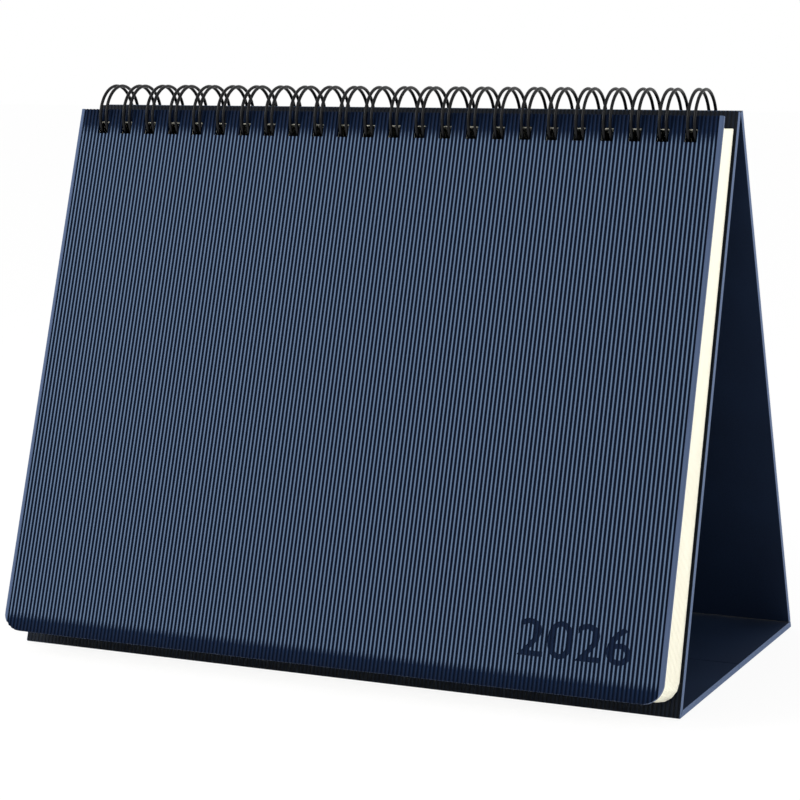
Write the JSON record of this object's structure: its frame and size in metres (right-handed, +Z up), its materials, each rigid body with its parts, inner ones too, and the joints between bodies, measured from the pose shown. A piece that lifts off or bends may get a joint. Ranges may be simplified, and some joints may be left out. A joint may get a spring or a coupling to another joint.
{
  "type": "flip desk calendar",
  "caption": "Desk calendar with a folding easel stand, twin-loop wire binding, a block of leaves that turn over the wire and a ribbed cover board.",
  "frame": {"origin": "middle of the calendar's footprint, on the surface that the base rests on", "axes": "+X along the fold and the row of loops, -Y towards the viewer who reads the cover, +Z up"},
  "size_m": [0.214, 0.1214, 0.1714],
  "materials": {
    "stand_board": "matte ribbed",
    "cover_board": "matte ribbed",
    "paper": "matte",
    "wire": "gloss coated"
  },
  "bodies": {
    "stand_front": {"front_panel": "stand_board", "binding_wire": "wire"},
    "stand_rear": {"rear_panel": "stand_board"},
    "base_front_half": {"base_front": "stand_board"},
    "base_rear_half": {"base_rear": "stand_board"},
    "cover": {"front_cover": "cover_board"},
    "month_01": {"leaves_month_01": "paper"},
    "month_02": {"leaves_month_02": "paper"},
    "month_03": {"leaves_month_03": "paper"},
    "month_04": {"leaves_month_04": "paper"},
    "month_05": {"leaves_month_05": "paper"},
    "month_06": {"leaves_month_06": "paper"},
    "month_07": {"leaves_month_07": "paper"},
    "month_08": {"leaves_month_08": "paper"},
    "month_09": {"leaves_month_09": "paper"},
    "month_10": {"leaves_month_10": "paper"},
    "month_11": {"leaves_month_11": "paper"},
    "month_12": {"leaves_month_12": "paper"}
  },
  "joints": [
    {"name": "stand_fold", "type": "hinge", "parent": "stand_front", "child": "stand_rear", "pos_m": [0, 0.00692, 0.16446], "axis": [-1, 0, 0], "range_deg": [0, 33]},
    {"name": "base_front_fold", "type": "hinge", "parent": "stand_front", "child": "base_front_half", "pos_m": [0, -0.04683, 0], "axis": [-1, 0, 0], "range_deg": [0, 101.34]},
    {"name": "base_crease_fold", "type": "hinge", "parent": "base_front_half", "child": "base_rear_half", "pos_m": [0, 0.00692, 0.0018], "axis": [1, 0, 0], "range_deg": [0, 169.69]},
    {"name": "month_01_turn", "type": "hinge", "parent": "stand_front", "child": "month_01", "pos_m": [0, 0.00092, 0.16106], "axis": [-1, 0, 0], "range_deg": [0, 4.17]},
    {"name": "month_02_turn", "type": "hinge", "parent": "stand_front", "child": "month_02", "pos_m": [0, 0.00092, 0.16106], "axis": [-1, 0, 0], "range_deg": [0, 8.33]},
    {"name": "month_03_turn", "type": "hinge", "parent": "stand_front", "child": "month_03", "pos_m": [0, 0.00092, 0.16106], "axis": [-1, 0, 0], "range_deg": [0, 12.5]},
    {"name": "month_04_turn", "type": "hinge", "parent": "stand_front", "child": "month_04", "pos_m": [0, 0.00092, 0.16106], "axis": [-1, 0, 0], "range_deg": [0, 16.67]},
    {"name": "month_05_turn", "type": "hinge", "parent": "stand_front", "child": "month_05", "pos_m": [0, 0.00092, 0.16106], "axis": [-1, 0, 0], "range_deg": [0, 20.83]},
    {"name": "month_06_turn", "type": "hinge", "parent": "stand_front", "child": "month_06", "pos_m": [0, 0.00092, 0.16106], "axis": [-1, 0, 0], "range_deg": [0, 25]},
    {"name": "month_07_turn", "type": "hinge", "parent": "stand_front", "child": "month_07", "pos_m": [0, 0.00092, 0.16106], "axis": [-1, 0, 0], "range_deg": [0, 29.17]},
    {"name": "month_08_turn", "type": "hinge", "parent": "stand_front", "child": "month_08", "pos_m": [0, 0.00092, 0.16106], "axis": [-1, 0, 0], "range_deg": [0, 33.33]},
    {"name": "month_09_turn", "type": "hinge", "parent": "stand_front", "child": "month_09", "pos_m": [0, 0.00092, 0.16106], "axis": [-1, 0, 0], "range_deg": [0, 37.5]},
    {"name": "month_10_turn", "type": "hinge", "parent": "stand_front", "child": "month_10", "pos_m": [0, 0.00092, 0.16106], "axis": [-1, 0, 0], "range_deg": [0, 41.67]},
    {"name": "month_11_turn", "type": "hinge", "parent": "stand_front", "child": "month_11", "pos_m": [0, 0.00092, 0.16106], "axis": [-1, 0, 0], "range_deg": [0, 45.83]},
    {"name": "leaf_turn", "type": "hinge", "parent": "stand_front", "child": "month_12", "pos_m": [0, 0.00092, 0.16106], "axis": [-1, 0, 0], "range_deg": [0, 50]},
    {"name": "cover_turn", "type": "hinge", "parent": "month_12", "child": "cover", "pos_m": [0, 0.00092, 0.16106], "axis": [-1, 0, 0], "range_deg": [0, 75]}
  ],
  "couplings": [
    {"joint": "base_front_fold", "follows": "stand_fold", "ratio": 3.071},
    {"joint": "base_crease_fold", "follows": "stand_fold", "ratio": 5.142},
    {"joint": "month_01_turn", "follows": "leaf_turn", "ratio": 0.083333},
    {"joint": "month_02_turn", "follows": "leaf_turn", "ratio": 0.16667},
    {"joint": "month_03_turn", "follows": "leaf_turn", "ratio": 0.25},
    {"joint": "month_04_turn", "follows": "leaf_turn", "ratio": 0.33333},
    {"joint": "month_05_turn", "follows": "leaf_turn", "ratio": 0.41667},
    {"joint": "month_06_turn", "follows": "leaf_turn", "ratio": 0.5},
    {"joint": "month_07_turn", "follows": "leaf_turn", "ratio": 0.58333},
    {"joint": "month_08_turn", "follows": "leaf_turn", "ratio": 0.66667},
    {"joint": "month_09_turn", "follows": "leaf_turn", "ratio": 0.75},
    {"joint": "month_10_turn", "follows": "leaf_turn", "ratio": 0.83333},
    {"joint": "month_11_turn", "follows": "leaf_turn", "ratio": 0.91667}
  ]
}
